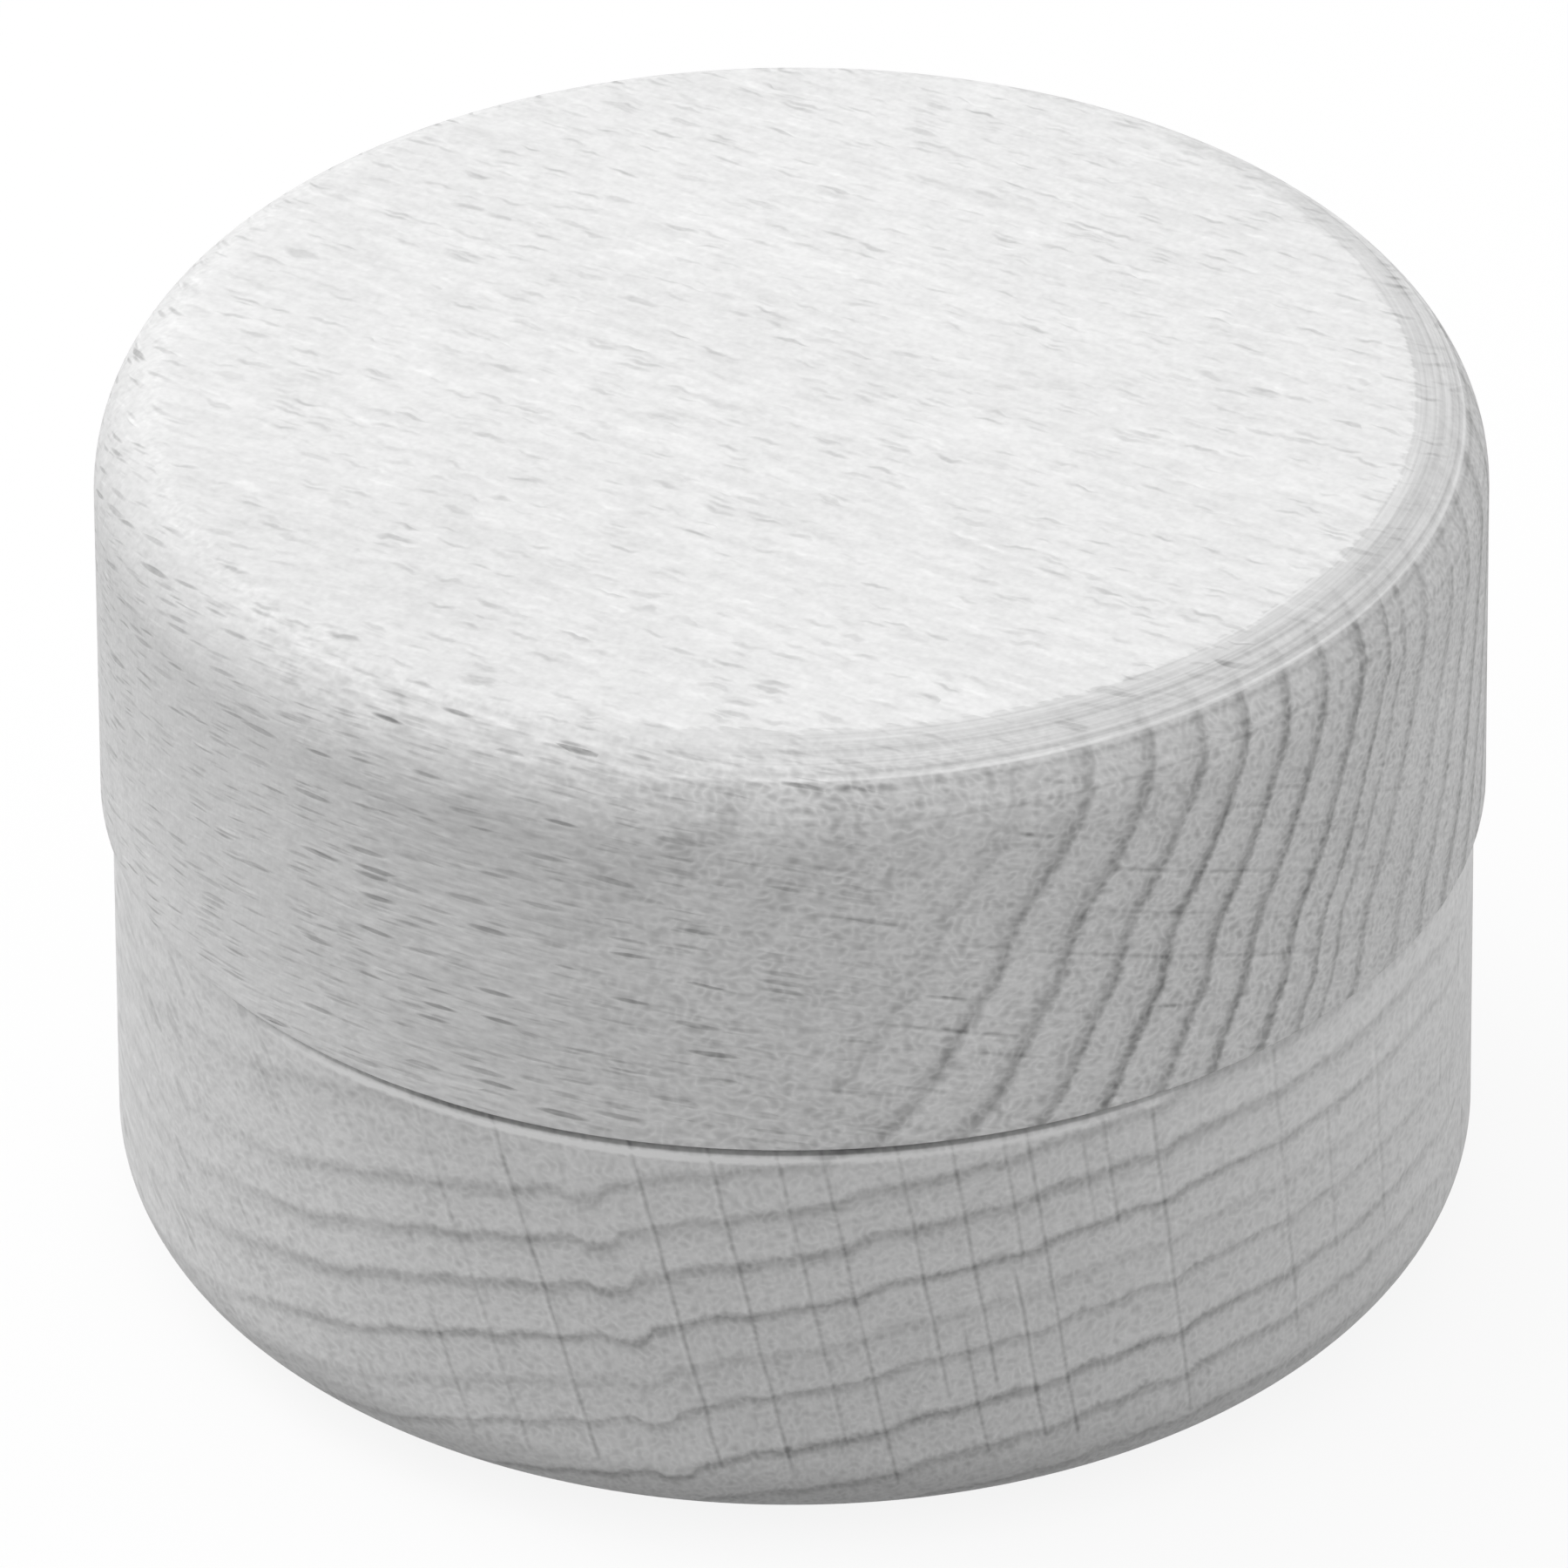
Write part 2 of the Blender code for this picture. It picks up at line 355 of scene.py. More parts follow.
class JarStudio(bpy.types.PropertyGroup):
    """Camera, floor and lamps."""

    camera_elevation: angle("Camera Elevation", "Height of the camera above the horizon", 32.57)
    camera_roll: angle("Camera Roll", "Turn of the camera about its line of sight", -0.338)
    camera_distance: length("Camera Distance", "From the camera to the middle of the jar", 1.0893)
    camera_left: length("Camera Left", "How far the camera stands left of the middle", 0.00040)
    camera_up: length("Camera Up", "How far the camera stands above the line through the middle", 0.00022)
    lens: bpy.props.FloatProperty(
        name="Lens", description="Focal length of the camera", default=577.0, min=1.0, unit="CAMERA"
    )
    floor_size: length("Floor Size", "Side of the square floor", 12.0)
    floor_colour: colour("Floor", "Paper that the jar stands on", (0.25, 0.25, 0.25))
    floor_glow: share("Floor Glow", "How much white the camera sees in the floor beside its own colour", 0.88)
    sky: share("Sky", "Strength of the even light all round", 0.74)


# How far the floor lies under the foot, and the share of its own colour that the camera sees under the glow.
FLOOR_GAP = 0.00005
FLOOR_SEEN_SHARE = 0.4

# The height that the lamps face.
LAMP_AIM = 0.02

# Names of the lamps, their azimuth from -Y towards +X and elevation in degrees, distance and side in metres,
# and what a white card that faces them would measure.
LAMPS = (
    ("back_left_lamp", 240.0, 42.0, 1.2, 0.7, 0.35),
    ("back_lamp", 180.0, 42.0, 1.2, 0.7, 0.09),
    ("left_lamp", 300.0, 42.0, 1.2, 0.7, 0.11),
    ("high_left_lamp", 270.0, 72.0, 1.2, 0.7, 0.12),
    ("low_right_lamp", 90.0, 14.0, 1.2, 0.5, 0.08),
)


class Reading:
    """A socket in a finish. Arithmetic on it adds Math nodes."""

    def __init__(self, finish, socket):
        self.finish = finish
        self.socket = socket

    def other(self, name):
        """Another output of the same node."""
        return Reading(self.finish, self.socket.node.outputs[name])

    def worked(self, operation, *values, clamp=False):
        settings = {"operation": operation, "use_clamp": clamp}
        return self.finish.node("ShaderNodeMath", settings, dict(enumerate((self, *values))))

    def held(self):
        """The same, held between 0 and 1."""
        return self.worked("MULTIPLY", 1.0, clamp=True)

    def positive(self):
        """1 where this is over 0, and 0 elsewhere."""
        return self.worked("GREATER_THAN", 0.0)

    def reversed(self, operation, value):
        return self.finish.node("ShaderNodeMath", {"operation": operation}, {0: value, 1: self})

    def __add__(self, value):
        return self.worked("ADD", value)

    def __sub__(self, value):
        return self.worked("SUBTRACT", value)

    def __mul__(self, value):
        return self.worked("MULTIPLY", value)

    def __truediv__(self, value):
        return self.worked("DIVIDE", value)

    def __pow__(self, value):
        return self.worked("POWER", value)

    def __radd__(self, value):
        return self.reversed("ADD", value)

    def __rsub__(self, value):
        return self.reversed("SUBTRACT", value)

    def __rmul__(self, value):
        return self.reversed("MULTIPLY", value)

    def __rtruediv__(self, value):
        return self.reversed("DIVIDE", value)

    def __abs__(self):
        return self.worked("ABSOLUTE")


class Finish:
    """A material, or the world, whose nodes are added one by one."""

    def __init__(self, owner):
        owner.use_nodes = True
        self.owner = owner
        self.tree = owner.node_tree
        self.tree.nodes.clear()

    def node(self, kind, settings=None, inputs=None, output=0):
        """Adds a node, sets its settings, then gives each input its value or link. Returns one output."""
        made = self.tree.nodes.new(kind)
        for name, value in (settings or {}).items():
            if name == "stops":
                self.set_stops(made.color_ramp, value)
            elif name == "between":
                made.color_ramp.interpolation = value
            elif name == "points":
                self.set_points(made.mapping, value)
            else:
                setattr(made, name, value)
        for name, value in (inputs or {}).items():
            if isinstance(value, Reading):
                self.tree.links.new(value.socket, made.inputs[name])
            else:
                made.inputs[name].default_value = value
        return Reading(self, made.outputs[output]) if len(made.outputs) else None

    @staticmethod
    def set_stops(ramp, stops):
        while len(ramp.elements) > 1:
            ramp.elements.remove(ramp.elements[-1])
        ramp.elements[0].position = stops[0][0]
        ramp.elements[0].color = (*stops[0][1], *(stops[0][2:] or (1.0,)))
        for place, values, *alpha in stops[1:]:
            ramp.elements.new(place).color = (*values, *(alpha or (1.0,)))

    @staticmethod
    def set_points(mapping, points):
        curve = mapping.curves[0]
        curve.points[0].location = points[0]
        curve.points[1].location = points[-1]
        for place in points[1:-1]:
            curve.points.new(*place)
        for point in curve.points:
            point.handle_type = "AUTO_CLAMPED"
        mapping.update()

    def point(self, x, y, z):
        return self.node("ShaderNodeCombineXYZ", {}, {0: x, 1: y, 2: z})

    def parts(self, vector):
        made = self.node("ShaderNodeSeparateXYZ", {}, {0: vector})
        return made, made.other(1), made.other(2)

    def colour_parts(self, value):
        made = self.node("ShaderNodeSeparateColor", {}, {0: value})
        return made, made.other(1), made.other(2)

    def noise(self, place, size, detail=1.0, roughness=0.5):
        """Smooth noise around 0, with lumps of the given size, mostly between -0.25 and 0.25."""
        inputs = {"Vector": place, "Scale": 1.0 / size, "Detail": detail, "Roughness": roughness}
        return self.node("ShaderNodeTexNoise", {}, inputs) - 0.5

    def ease(self, value, low, high, start=0.0, end=1.0):
        """Goes smoothly from start to end while the value goes from low to high."""
        settings = {"interpolation_type": "SMOOTHSTEP"}
        inputs = {"Value": value, "From Min": low, "From Max": high, "To Min": start, "To Max": end}
        return self.node("ShaderNodeMapRange", settings, inputs)

    def zone(self, place, centre, reach):
        """1 at the centre of an egg-shaped zone, going smoothly to 0 at its edge."""
        away = self.node("ShaderNodeVectorMath", {"operation": "SUBTRACT"}, {0: place, 1: centre})
        share_out = self.node("ShaderNodeVectorMath", {"operation": "DIVIDE"}, {0: away, 1: reach})
        length_out = self.node("ShaderNodeVectorMath", {"operation": "LENGTH"}, {0: share_out}).other("Value")
        return self.ease(length_out, 0.0, 1.0, 1.0, 0.0)

    def line(self, value, place, half_width):
        """1 where the value is at a place, falling to 0 at half_width from it."""
        return (1.0 - abs(value - place) / half_width).worked("MAXIMUM", 0.0)

    def mix(self, share_of_second, first, second, held=True):
        """A colour on the way from the first to the second, or past them when it isn't held."""
        return self.node(
            "ShaderNodeMix",
            {"data_type": "RGBA", "clamp_factor": held},
            {"Factor": share_of_second, 6: (*first, 1.0), 7: (*second, 1.0)},
            output=2,
        )

    def bump(self, relief, distance):
        """A normal from a relief, whose unit is as high as the distance."""
        return self.node("ShaderNodeBump", {}, {"Strength": 1.0, "Distance": distance, "Height": relief})

    def facing(self, direction):
        """How far the surface faces a direction, from -1 to 1."""
        normal = self.node("ShaderNodeTexCoord", output="Normal")
        made = self.node("ShaderNodeVectorMath", {"operation": "DOT_PRODUCT"}, {0: normal, 1: direction})
        return made.other("Value")

    def finished(self, shader_inputs, constants):
        """Ends in a Principled shader with these links, and these values that hold all over."""
        shader = self.node("ShaderNodeBsdfPrincipled", {}, {**constants, **shader_inputs})
        self.node("ShaderNodeOutputMaterial", {}, {"Surface": shader})
        return self.owner


def new_finish(name):
    return Finish(bpy.data.materials.new(name))


def share_of(value, low, high):
    """How far along from low to high a value is, as a share."""
    return (value - low) / (high - low)


def ray_share(place):
    """A place along the rings, as a share of the span that rays are placed in."""
    return share_of(place, -RAY_SPAN, RAY_SPAN)


def ring_stops(block):
    """Ramp stops at the rings: the red part counts them, green is the depth and blue half the narrowness."""
    rings = block["rings"]
    low, high = rings[0][0], rings[-1][0]
    last = len(rings) - 1
    stops = []
    for index, (place, depth, narrowness) in enumerate(rings):
        count = last - index if block["bark_inwards"] else index
        stops.append((share_of(place, low, high), (count / last, depth, narrowness / 2.0)))
    return stops


def ray_stops(block, near, far):
    """Steps of a ramp, one for each ray: its place, where it starts and ends, and its darkness."""
    stops = []
    edge = 0.0
    for ray, following in zip(block["rays"], (*block["rays"][1:], None)):
        place, start, end, depth = ray
        stops.append(
            (edge, (ray_share(place), share_of(start, near, far), share_of(end, near, far)), depth)
        )
        if following is not None:
            edge = ray_share((place + following[0]) / 2.0)
    return stops


class Beech(Finish):
    """Bare sanded beech, solid all through, whose marks come from the place in the block it was cut from."""

    def __init__(self, name, block, colours):
        super().__init__(bpy.data.materials.new(name))
        self.block = block
        self.colours = colours
        self.azimuth = math.radians(block["fibre_azimuth"])
        self.first_ring, self.last_ring = block["rings"][0][0], block["rings"][-1][0]
        self.find_place()
        self.find_facing()
        self.find_grain()

    def find_place(self):
        """The place in the block, in millimetres, and the same place by the rings and by the jar's axis."""
        block = self.block
        self.in_block = self.node(
            "ShaderNodeMapping",
            {},
            {
                "Vector": self.node("ShaderNodeTexCoord", output="Object"),
                "Rotation": (0.0, 0.0, -self.azimuth),
                "Scale": (MILLIMETRES,) * 3,
            },
        )
        self.along, self.across, self.height = self.parts(self.in_block)
        from_line = self.across - block["ring_line"][0]
        above_line = self.height - block["ring_line"][1]
        self.reach = (from_line * from_line + above_line * above_line).worked("SQRT")
        turned = above_line.worked("ARCTAN2", from_line)
        self.arc = (turned - math.radians(block["mean_angle"])) * block["mean_radius"]
        self.by_ring = self.point(self.arc, self.reach, self.along * 0.2)
        self.from_axis = (self.along * self.along + self.across * self.across).worked("SQRT")
        self.towards_end = self.along / self.from_axis

    def find_facing(self):
        """How far the surface shows end grain, the front end of the block, its back end, or the flat top."""
        by_fibre = self.facing((math.cos(self.azimuth), math.sin(self.azimuth), 0.0))
        self.upwards = self.facing((0.0, 0.0, 1.0))
        self.end_grain = self.ease(abs(by_fibre), 0.25, 0.72)
        self.flat_top = self.ease(self.upwards, 0.80, 0.99)
        self.back_end = self.ease(by_fibre, -0.38, -0.04, 1.0, 0.0)
        self.cut_across = self.ease(abs(by_fibre), 0.02, 0.45) * (1.0 - self.back_end * 0.9)
        self.front_end = self.ease(self.towards_end, 0.10, 0.80)

    def find_grain(self):
        """Noises that several marks share: the sway of the rays, ragged rings, pores and grit."""
        arc, reach, along = self.arc, self.reach, self.along
        self.sway = self.noise(self.point(arc * 0.3, reach, along * 0.4), 2.5, 1.0)
        crinkle = self.noise(self.point(arc, reach * 0.5, along * 0.8), 0.8, 1.0)
        self.swayed = arc + self.sway * 0.35 + crinkle * self.flat_top * 0.32
        self.ragged = self.noise(self.by_ring, 0.45, 2.0, 0.6)
        self.pores = self.lumps(arc, PORE_SIZE, 1.0)
        self.grit = self.noise(self.in_block, GRIT_SIZE, 1.0, 0.6)

    def scaled(self, arc, size):
        """The place by the rings, in units of a mark's size."""
        width, depth, length_on = size
        return self.point(arc / width, self.reach / depth, self.along / length_on)

    def lumps(self, arc, size, detail):
        """Smooth noise around 0, with lumps of a mark's size."""
        return self.noise(self.scaled(arc, size), 1.0, detail)

    def sheets(self, size):
        """The nearest of many upright sheets along the fibre: how far off it is, and three random shares."""
        place = self.scaled(self.swayed, size)
        settings = {"voronoi_dimensions": "3D", "feature": "F1"}
        nearest = self.node("ShaderNodeTexVoronoi", settings, {"Vector": place, "Scale": 1.0})
        return nearest, *self.colour_parts(nearest.other("Color"))

    def find_flecks(self):
        """Ray flecks: large dark ones, of varied size, and fine ones, of which a few are pale."""
        distance, kept, size, strength = self.sheets(FLECK_SIZE)
        fleck = (size * 0.18 + 0.27 - self.flat_top * 0.07 - distance) / 0.15
        fleck = fleck.held() * (0.72 - kept).positive() * (strength * strength * 0.80 + 0.20)
        fine_distance, fine_kept, fine_size, fine_strength = self.sheets(FINE_FLECK_SIZE)
        fine_fleck = (fine_size * 0.2 + 0.30 - fine_distance) / 0.27
        dark, pale = (0.55 - fine_kept).positive(), (fine_kept - 0.80).positive()
        self.fleck = fleck
        self.fine_fleck = fine_fleck.held() * (dark * (fine_strength + 0.4) - pale * 0.4)
        self.fleck_size = size
        self.fleck_shown = (1.0 - self.end_grain * (1.0 - self.back_end) * 0.82) * self.block["flecks"]

    def rings(self):
        """Growth rings: the dark latewood at each ring, and the pale earlywood past it."""
        drift = self.block["drift"]
        arc_low, arc_high = drift[0][0], drift[-1][0]
        points = [(share_of(at, arc_low, arc_high), 0.5 + shift / 2.0) for at, shift in drift]
        arc_share = share_of(self.arc, arc_low, arc_high)
        strayed = self.node("ShaderNodeFloatCurve", {"points": points}, {"Value": arc_share}) * 2.0 - 1.0
        slow = self.noise(self.by_ring, 5.0, 2.0)
        ringed = self.reach - strayed + slow * 0.20 + self.ragged * 0.28 + (self.fleck_size - 0.5) * 0.06
        ringed_share = share_of(ringed, self.first_ring, self.last_ring)
        ramp = self.node("ShaderNodeValToRGB", {"stops": ring_stops(self.block)}, {"Fac": ringed_share})
        count, depth, half_narrowness = self.colour_parts(ramp)
        age = (count * float(len(self.block["rings"]) - 1)).worked("FRACT")
        across_ring = self.node("ShaderNodeValToRGB", {"stops": RING_SECTION}, {"Fac": age})
        latewood, earlywood, _ = self.colour_parts(across_ring)
        patchy = 1.0 + self.noise(self.by_ring, 1.6, 1.0)
        self.late = latewood ** (half_narrowness * 2.0) * depth * patchy
        towards, quiet_from, quiet_to, quiet_share = self.block["quiet"]
        this_far = self.along * towards[0] + self.across * towards[1]
        quiet = self.ease(this_far, quiet_from, quiet_to, 0.0, quiet_share)
        self.rings_shown = (self.end_grain * 0.78 + 0.22 - self.flat_top * 0.10) * (1.0 - quiet)
        dark = self.late * self.rings_shown * self.colours.ring_depth
        return dark - earlywood * depth * self.rings_shown * 0.09

    def rays(self):
        """Rays: dark flecks on side grain, and on end grain fine lines, each with a painted highlight beside
        it.
        """
        bend = (self.reach - self.block["mean_radius"]) * self.block["ray_fan"] + 1.0
        fanned = self.arc * bend + self.sway * 0.16
        settings = {"stops": ray_stops(self.block, self.first_ring, self.last_ring), "between": "CONSTANT"}
        ramp = self.node("ShaderNodeValToRGB", settings, {"Fac": (fanned + RAY_SPAN) / (2.0 * RAY_SPAN)})
        ray_place, ray_start, ray_end = self.colour_parts(ramp)
        past_ray = fanned - (ray_place * (2.0 * RAY_SPAN) - RAY_SPAN)
        reach_share = share_of(self.reach, self.first_ring, self.last_ring)
        ray_run = self.ease(reach_share - ray_start, 0.0, 0.02) * self.ease(ray_end - reach_share, 0.0, 0.02)
        breaks = self.noise(self.point(self.arc, self.reach, 0.0), 0.8, 1.0)
        broken = self.ease(breaks, -0.14, 0.06, self.block["ray_breaks"], 1.0)
        shown = ray_run * ramp.other("Alpha") * self.end_grain * self.ease(self.along, 4.0, 9.0)
        on_walls = 1.0 - self.flat_top * 0.65 - self.back_end * 0.32
        return (
            self.fleck * self.fleck_shown * on_walls * self.colours.fleck_depth
            + self.fine_fleck * self.fleck_shown * (self.flat_top * 0.02 + self.back_end * 0.11 + 0.21)
            + self.line(past_ray, *RAY_LINE) * broken * shown * self.colours.ray_depth
            # Painted highlight beside each ray's line, where its edge would catch light.
            - self.line(past_ray, *RAY_EDGE_HIGHLIGHT) * shown * 0.18
        )

    def speckle(self):
        """Grit, pores drawn out along the fibre, and curls where the fibre is cut across, with painted light
        and shade of the relief on the rounded edges.
        """
        curls = abs(self.lumps(self.arc, CURL_SIZE, 0.0)) - 0.08
        streaks = self.lumps(self.swayed, STREAK_SIZE, 1.0)
        speckle = self.grit * (self.cut_across * 0.65 + self.flat_top * 1.10 + 0.35) * self.colours.grit_depth
        of_pores = 0.80 - self.cut_across * 0.30 - self.back_end * 0.48 - self.flat_top * 0.35
        speckle = speckle + self.pores * of_pores
        speckle = speckle + curls * (self.cut_across * 0.95 - self.back_end * 0.25 + 0.35)
        # Painted light and shade: on the rounded edges the speckle is made stronger, standing in for its
        # relief lit at a grazing angle, and weaker where they face the front end of the block.
        painted_relief_on_round = self.ease(self.upwards, 0.20, 0.60) * (1.0 - self.ease(self.upwards, 0.96, 0.999))
        painted_relief_on_round = painted_relief_on_round * self.ease(self.towards_end, 0.5, 0.9, 0.30, -0.30)
        speckle = speckle * (1.0 - self.flat_top * 0.46 + painted_relief_on_round) * self.block["speckle"]
        return speckle + streaks * self.flat_top * 0.24

    def tones(self):
        """Broad clouds and zones of tone, and inside the jar the faint rings that the lathe left."""
        clouds = self.lumps(self.arc, CLOUD_SIZE, 2.0)
        lathe = self.noise(self.point(self.from_axis, 0.0, self.height), LATHE_LINE_SIZE, 1.0)
        inside = self.ease(self.from_axis, *INNER_SURFACES, 1.0, 0.0)
        self.lathe = lathe * inside * self.ease(self.height, *BELOW_TOP, 1.0, 0.0)
        tones = clouds * 0.12 + self.lathe * 0.14
        for zone_azimuth, zone_height, level, upright, zone_depth in self.block["zones"]:
            turned_by = math.radians(zone_azimuth) - self.azimuth
            centre = (WALL_RADIUS * math.cos(turned_by), WALL_RADIUS * math.sin(turned_by), zone_height)
            tones = tones + self.zone(self.in_block, centre, (level, level, upright)) * zone_depth
        return tones

    def cut(self):
        """Where the last cut went round the lid's top edge, and its marks, which only end grain keeps."""
        down_round = self.height - self.from_axis
        cut_edge = self.from_axis + self.pores * 1.1 + self.ragged * 0.8
        cut = self.ease(self.height, *CUT_HEIGHT) * self.ease(cut_edge, *FLAT_TOP_EDGE)
        tool_lines = self.noise(self.point(down_round, self.across * 0.02, 0.0), TOOL_LINE_SIZE, 1.0)
        cut_tone = self.ease(down_round, *CUT_SHADE, -0.12, 0.16) * self.ease(self.towards_end, 0.05, 0.45)
        marks = cut * (tool_lines * self.front_end * 0.6 + cut_tone)
        for at, half_width, mark_depth in TOOL_MARKS:
            marks = self.line(down_round, at, half_width) * self.front_end * mark_depth + marks
        return cut, marks

    def seam(self):
        """Painted shade where the gap at the seam is dark, and under it a painted highlight where the edge of
        the shoulder catches light, both on the front side; the wall under the seam is a little lighter
        towards its top.
        """
        front_along, front_across = SEAM_FRONT
        frontwards = self.along * front_along - self.across * front_across
        rightwards = 0.0 - self.along * front_across - self.across * front_along
        front = self.ease(frontwards / self.from_axis, 0.62, 0.95)
        left = self.ease(rightwards, -18.0, 4.0, 0.5, 1.0)
        # Painted shade: the shadow in the gap under the lid's rim, painted dark on the shoulder's edge, at
        # the front only.
        seam = self.ease(self.height, *SEAM_SHADE) * front * 0.66
        # Painted highlight: the shoulder's rounded edge catching light, painted pale under the dark line,
        # strongest on the left.
        seam = seam - self.line(self.height, *SEAM_PAINTED_HIGHLIGHT) * front * left * 0.85
        # The wall just under the seam is made a little lighter towards its top.
        seam = seam - self.ease(self.height, *UNDER_SEAM) * 0.10
        return seam * self.ease(self.from_axis, *SHOULDER_EDGE)

    def made(self):
        """Puts the marks together, as a darkness between the two colours and as a relief."""
        self.find_flecks()
        rings = self.rings()
        rays = self.rays()
        speckle = self.speckle()
        tones = self.tones()
        # The lid takes the tool marks of its last cut, and the base takes the painted shade and painted
        # highlight at its seam.
        if self.block is LID_BLOCK:
            cut, marks_and_painted_seam = self.cut()
            kept_grain = 1.0 - cut * self.front_end * 0.55
            rings = rings * kept_grain * self.ease(self.height, *TOP_ROUND, 1.0, 0.70)
            speckle = speckle * kept_grain
        else:
            marks_and_painted_seam = self.seam()
        # Painted shade: surfaces that face upwards are made a little darker.
        painted_top_shade = self.ease(self.upwards, 0.3, 0.95) * 0.06
        darkness = 0.02 + self.end_grain * 0.06 + painted_top_shade + rings + rays + speckle + tones + marks_and_painted_seam
        darkness = (darkness * 0.88 + 0.12).worked("MAXIMUM", PALEST).worked("MINIMUM", 1.0)
        tone = self.mix(darkness, self.colours.pale_wood, self.colours.dark_wood, held=False)
        roughness = self.colours.wood_roughness + self.pores * 0.15 - self.fleck * 0.10
        grooves = (self.fleck * 0.9 + self.fine_fleck * 0.5) * self.fleck_shown
        grooves = grooves + self.late * self.rings_shown * 0.4 + marks_and_painted_seam * 0.8
        relief = self.grit * 1.2 + self.pores * 0.8 + self.lathe * 2.0 - grooves
        normal = self.bump(relief, self.colours.wood_relief)
        return self.finished(
            {"Base Color": tone, "Roughness": roughness, "Normal": normal}, {"Specular IOR Level": 0.35}
        )


def felt(name, colours):
    """Pressed wool: matted fibres, a soft nap and a sheen."""
    wool = new_finish(name)
    place = wool.node(
        "ShaderNodeMapping",
        {},
        {"Vector": wool.node("ShaderNodeTexCoord", output="Object"), "Scale": (MILLIMETRES,) * 3},
    )
    swirl = wool.noise(place, 1.1, 2.0)
    x, y, z = wool.parts(place)
    fibres_one = wool.noise(wool.point(x * 3.0 + swirl * 9.0, y / 1.2, z), 0.5, 2.0)
    fibres_two = wool.noise(wool.point(x / 1.2, y * 3.0 + swirl * 9.0, z), 0.5, 2.0)
    fibre = fibres_one.worked("MAXIMUM", fibres_two)
    lumps = wool.noise(place, 2.6, 2.0)
    fuzz = wool.noise(place, 0.20, 2.0, 0.6)
    fleck_share = wool.ease(fibre, 0.04, 0.26) * 0.55 + fuzz * 0.9 + lumps * 0.35 + 0.12
    tone = wool.mix(fleck_share.held(), colours.felt_colour, colours.felt_fleck)
    nap = fibre + fuzz * 0.8 + lumps * 0.6
    return wool.finished(
        {"Base Color": tone, "Normal": wool.bump(nap, colours.felt_relief)},
        {"Roughness": 0.95, "Specular IOR Level": 0.2, "Sheen Weight": 0.4, "Sheen Roughness": 0.5},
    )


def arc_points(centre, width, height, start, end, steps):
    """Points (radius, height) along a quarter of an ellipse, from start to end in degrees from outwards."""
    points = []
    for step in range(steps + 1):
        turn = math.radians(start + (end - start) * step / steps)
        points.append((centre[0] + width * math.cos(turn), centre[1] + height * math.sin(turn)))
    return points


def with_holds(outline):
    """Adds a point close to each end of the long straight runs, which keeps smooth shading off the flats."""
    points = [outline[0]]
    for start, end in zip(outline, outline[1:]):
        run = math.dist(start, end)
        if run > 4.0 * FLAT_HOLD:
            for part in (FLAT_HOLD / run, 0.5, 1.0 - FLAT_HOLD / run):
                points.append(tuple(a + (b - a) * part for a, b in zip(start, end)))
        points.append(end)
    return points


def base_outline(sizes):
    """Foot, rounded bottom edge, wall, shoulder, tapered spigot, mouth, and the well down to its floor."""
    well = sizes.base_radius - sizes.base_wall
    tip = sizes.spigot_radius - sizes.spigot_taper
    spigot_top = BASE_BOX[1].z
    foot = (sizes.base_radius - sizes.foot_round_width, sizes.foot_round_height)
    shoulder = (sizes.base_radius - sizes.shoulder_width, sizes.shoulder_height - sizes.shoulder_round)
    mouth = (well + sizes.mouth_arris, spigot_top - sizes.mouth_arris)
    corner = (well - sizes.well_fillet, sizes.floor_thickness + sizes.well_fillet)
    return [
        (0.0, 0.0),
        *arc_points(foot, sizes.foot_round_width, sizes.foot_round_height, -90, 0, LARGE_ROUND_STEPS),
        *arc_points(shoulder, sizes.shoulder_width, sizes.shoulder_round, 0, 90, 2 * SMALL_ROUND_STEPS),
        (sizes.spigot_radius, sizes.shoulder_height),
        (tip, spigot_top - sizes.spigot_lead_in),
        (tip - sizes.spigot_lead_in, spigot_top),
        *arc_points(mouth, sizes.mouth_arris, sizes.mouth_arris, 90, 180, SMALL_ROUND_STEPS),
        *arc_points(corner, sizes.well_fillet, sizes.well_fillet, 0, -90, SMALL_ROUND_STEPS),
        (0.0, sizes.floor_thickness),
    ]


def lid_outline(sizes):
    """Ceiling, hollow, ledge and rebate, then the rim, wall, rounded edge and flat top."""
    well = sizes.base_radius - sizes.base_wall
    ceiling = sizes.top_height - sizes.top_thickness
    ledge_height = sizes.lid_seat + sizes.rebate_depth
    corner = (well - sizes.lid_fillet, ceiling - sizes.lid_fillet)
    ledge = (well + sizes.mouth_arris, ledge_height + sizes.mouth_arris)
    rim = (sizes.lid_radius - sizes.rim_arris, sizes.lid_seat + sizes.rim_arris)
    top = (sizes.lid_radius - sizes.top_round_width, sizes.top_height - sizes.top_round_height)
    return [
        (0.0, ceiling),
        *arc_points(corner, sizes.lid_fillet, sizes.lid_fillet, 90, 0, LARGE_ROUND_STEPS),
        *arc_points(ledge, sizes.mouth_arris, sizes.mouth_arris, 180, 270, SMALL_ROUND_STEPS),
        (sizes.rebate_radius, ledge_height),
        (sizes.rebate_radius, sizes.lid_seat + sizes.rebate_lead_in),
        (sizes.rebate_radius + sizes.rebate_lead_in, sizes.lid_seat),
        *arc_points(rim, sizes.rim_arris, sizes.rim_arris, -90, 0, SMALL_ROUND_STEPS),
        *arc_points(top, sizes.top_round_width, sizes.top_round_height, 0, 90, LARGE_ROUND_STEPS),
        (0.0, sizes.top_height),
    ]


